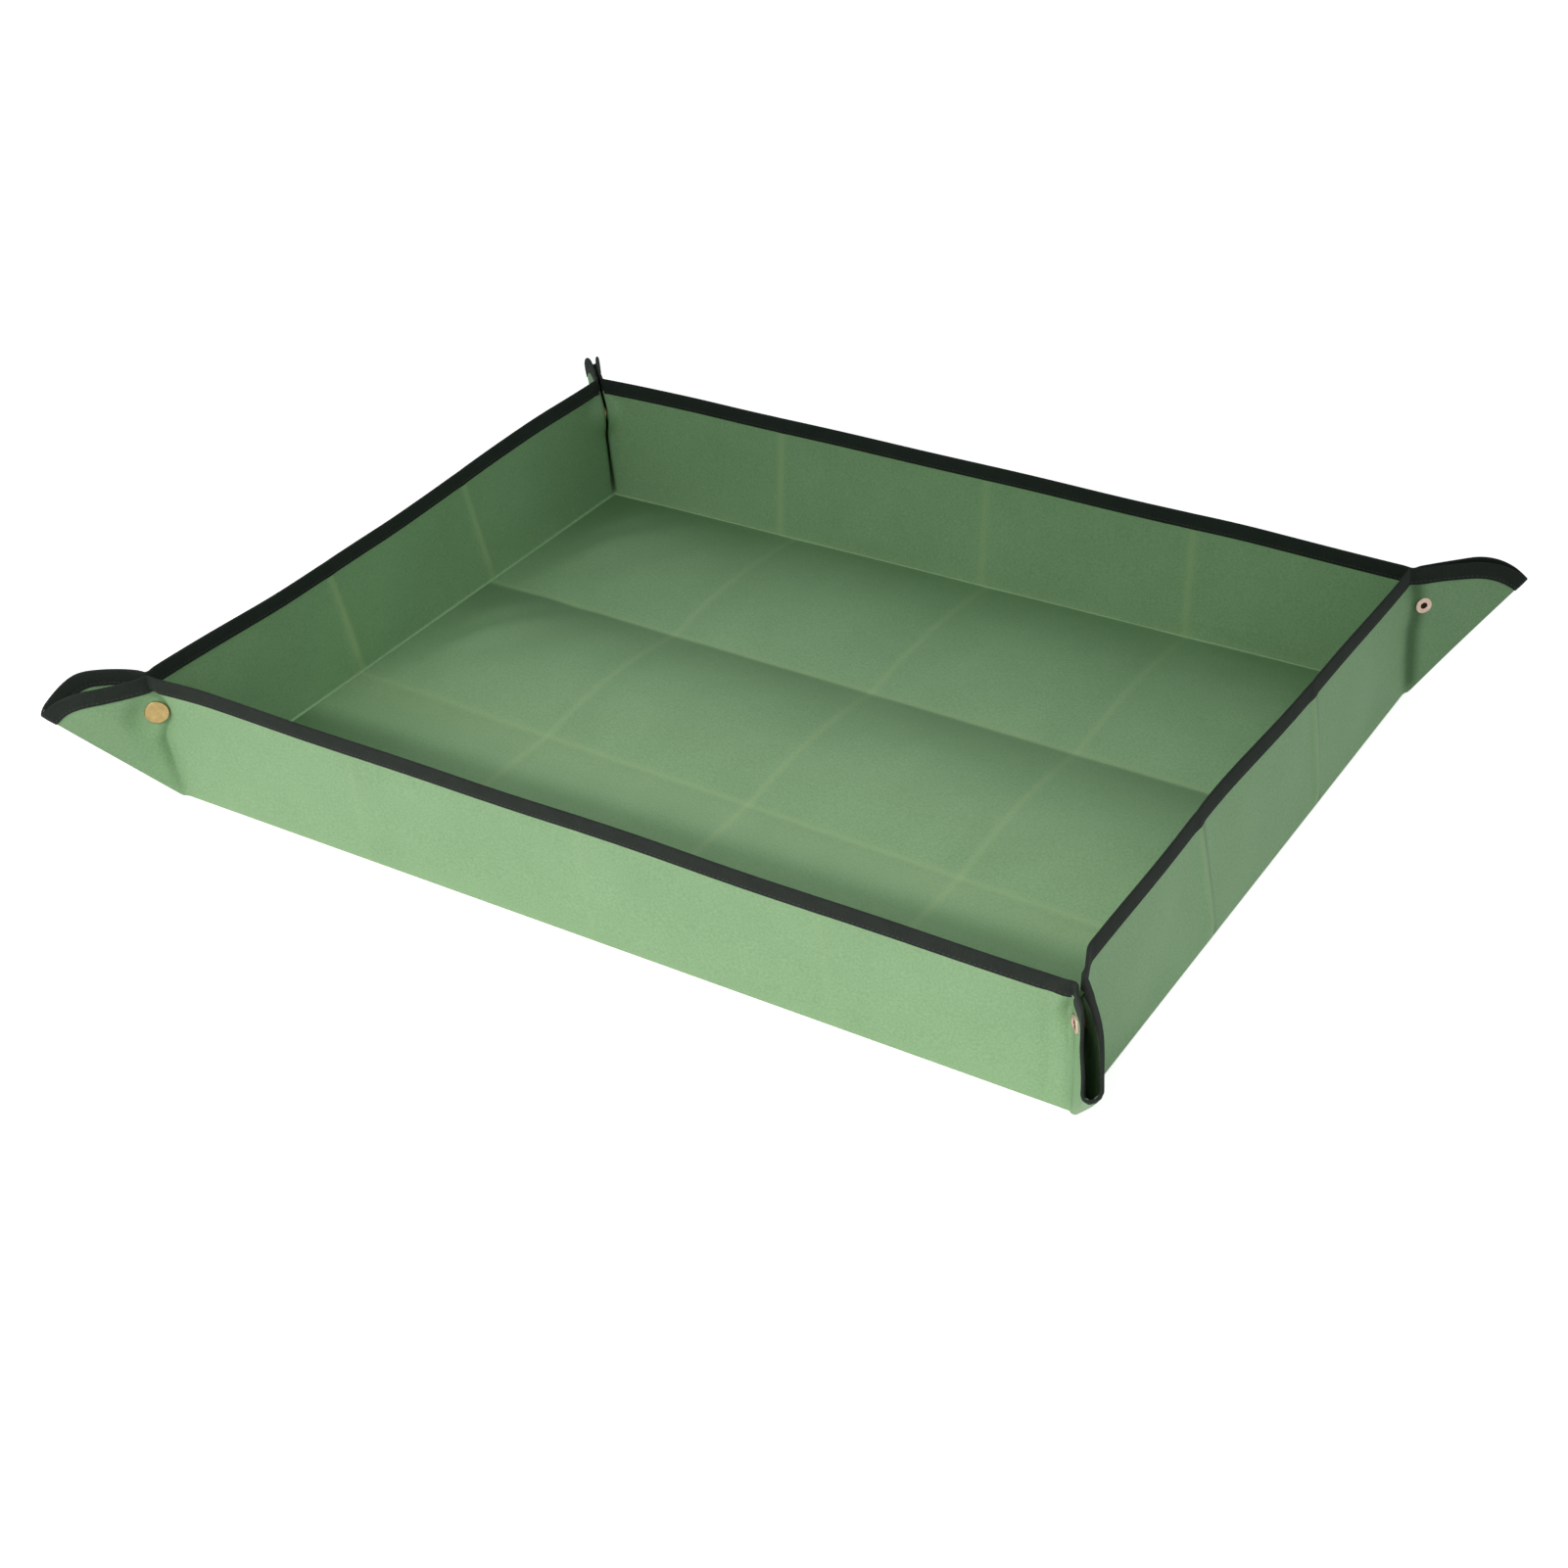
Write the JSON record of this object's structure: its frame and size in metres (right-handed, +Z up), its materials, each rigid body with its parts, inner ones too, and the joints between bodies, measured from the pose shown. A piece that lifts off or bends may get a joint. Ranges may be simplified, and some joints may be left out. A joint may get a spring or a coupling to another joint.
{
  "type": "repotting mat",
  "caption": "Rectangular repotting mat of coated cloth with bound edges, whose sides fold up into a shallow tray held by press studs through pinched corner ears.",
  "frame": {"origin": "middle of the floor panel, on the surface that the mat lies on", "axes": "+X along the longer side, -Y to the front, +Z up"},
  "size_m": [0.9124, 0.7124, 0.112],
  "materials": {
    "coated_cloth": "green coated cloth, fine weave, soft satin",
    "binding_tape": "black woven tape, matt",
    "brass_cap": "satin brass",
    "copper_toned_post": "satin copper-toned brass"
  },
  "bodies": {
    "floor": {"floor_panel": "coated_cloth"},
    "front_wall": {"front_wall": "coated_cloth", "front_wall_binding": "binding_tape"},
    "right_wall": {"right_wall": "coated_cloth", "right_wall_binding": "binding_tape"},
    "back_wall": {"back_wall": "coated_cloth", "back_wall_binding": "binding_tape"},
    "left_wall": {"left_wall": "coated_cloth", "left_wall_binding": "binding_tape"},
    "front_wall_left_ear": {"front_wall_left_ear": "coated_cloth", "front_wall_left_ear_binding": "binding_tape", "front_left_snap_cap": "brass_cap", "front_left_snap_socket": "brass_cap"},
    "front_wall_right_ear": {"front_wall_right_ear": "coated_cloth", "front_wall_right_ear_binding": "binding_tape", "front_right_snap_post": "copper_toned_post", "front_right_snap_stud": "copper_toned_post"},
    "right_wall_front_ear": {"right_wall_front_ear": "coated_cloth", "right_wall_front_ear_binding": "binding_tape", "front_right_snap_cap": "brass_cap", "front_right_snap_socket": "brass_cap"},
    "right_wall_back_ear": {"right_wall_back_ear": "coated_cloth", "right_wall_back_ear_binding": "binding_tape", "back_right_snap_post": "copper_toned_post", "back_right_snap_stud": "copper_toned_post"},
    "back_wall_right_ear": {"back_wall_right_ear": "coated_cloth", "back_wall_right_ear_binding": "binding_tape", "back_right_snap_cap": "brass_cap", "back_right_snap_socket": "brass_cap"},
    "back_wall_left_ear": {"back_wall_left_ear": "coated_cloth", "back_wall_left_ear_binding": "binding_tape", "back_left_snap_post": "copper_toned_post", "back_left_snap_stud": "copper_toned_post"},
    "left_wall_back_ear": {"left_wall_back_ear": "coated_cloth", "left_wall_back_ear_binding": "binding_tape", "back_left_snap_cap": "brass_cap", "back_left_snap_socket": "brass_cap"},
    "left_wall_front_ear": {"left_wall_front_ear": "coated_cloth", "left_wall_front_ear_binding": "binding_tape", "front_left_snap_post": "copper_toned_post", "front_left_snap_stud": "copper_toned_post"}
  },
  "joints": [
    {"name": "front_wall_fold", "type": "hinge", "parent": "floor", "child": "front_wall", "pos_m": [0, -0.2876, 0.0004], "axis": [1, 0, 0], "range_deg": [0, 90]},
    {"name": "right_wall_fold", "type": "hinge", "parent": "floor", "child": "right_wall", "pos_m": [0.3876, 0, 0.0004], "axis": [0, 1, 0], "range_deg": [0, 90]},
    {"name": "back_wall_fold", "type": "hinge", "parent": "floor", "child": "back_wall", "pos_m": [0, 0.2876, 0.0004], "axis": [-1, 0, 0], "range_deg": [0, 90]},
    {"name": "left_wall_fold", "type": "hinge", "parent": "floor", "child": "left_wall", "pos_m": [-0.3876, 0, 0.0004], "axis": [0, -1, 0], "range_deg": [0, 90]},
    {"name": "front_wall_left_ear_fold", "type": "hinge", "parent": "front_wall", "child": "front_wall_left_ear", "pos_m": [-0.38371, -0.2876, 0.056], "axis": [0, 0, -1], "range_deg": [0, 45]},
    {"name": "front_wall_right_ear_fold", "type": "hinge", "parent": "front_wall", "child": "front_wall_right_ear", "pos_m": [0.38371, -0.2876, 0.056], "axis": [0, 0, 1], "range_deg": [0, 45]},
    {"name": "right_wall_front_ear_fold", "type": "hinge", "parent": "right_wall", "child": "right_wall_front_ear", "pos_m": [0.3876, -0.28371, 0.056], "axis": [0, 0, -1], "range_deg": [0, 45]},
    {"name": "right_wall_back_ear_fold", "type": "hinge", "parent": "right_wall", "child": "right_wall_back_ear", "pos_m": [0.3876, 0.28371, 0.056], "axis": [0, 0, 1], "range_deg": [0, 45]},
    {"name": "back_wall_right_ear_fold", "type": "hinge", "parent": "back_wall", "child": "back_wall_right_ear", "pos_m": [0.38371, 0.2876, 0.056], "axis": [0, 0, -1], "range_deg": [0, 45]},
    {"name": "back_wall_left_ear_fold", "type": "hinge", "parent": "back_wall", "child": "back_wall_left_ear", "pos_m": [-0.38371, 0.2876, 0.056], "axis": [0, 0, 1], "range_deg": [0, 45]},
    {"name": "left_wall_back_ear_fold", "type": "hinge", "parent": "left_wall", "child": "left_wall_back_ear", "pos_m": [-0.3876, 0.28371, 0.056], "axis": [0, 0, -1], "range_deg": [0, 45]},
    {"name": "left_wall_front_ear_fold", "type": "hinge", "parent": "left_wall", "child": "left_wall_front_ear", "pos_m": [-0.3876, -0.28371, 0.056], "axis": [0, 0, 1], "range_deg": [0, 45]}
  ],
  "couplings": [
    {"joint": "right_wall_fold", "follows": "front_wall_fold", "ratio": 1},
    {"joint": "back_wall_fold", "follows": "front_wall_fold", "ratio": 1},
    {"joint": "left_wall_fold", "follows": "front_wall_fold", "ratio": 1},
    {"joint": "front_wall_left_ear_fold", "follows": "front_wall_fold", "ratio": 0.5},
    {"joint": "front_wall_right_ear_fold", "follows": "front_wall_fold", "ratio": 0.5},
    {"joint": "right_wall_front_ear_fold", "follows": "front_wall_fold", "ratio": 0.5},
    {"joint": "right_wall_back_ear_fold", "follows": "front_wall_fold", "ratio": 0.5},
    {"joint": "back_wall_right_ear_fold", "follows": "front_wall_fold", "ratio": 0.5},
    {"joint": "back_wall_left_ear_fold", "follows": "front_wall_fold", "ratio": 0.5},
    {"joint": "left_wall_back_ear_fold", "follows": "front_wall_fold", "ratio": 0.5},
    {"joint": "left_wall_front_ear_fold", "follows": "front_wall_fold", "ratio": 0.5}
  ]
}
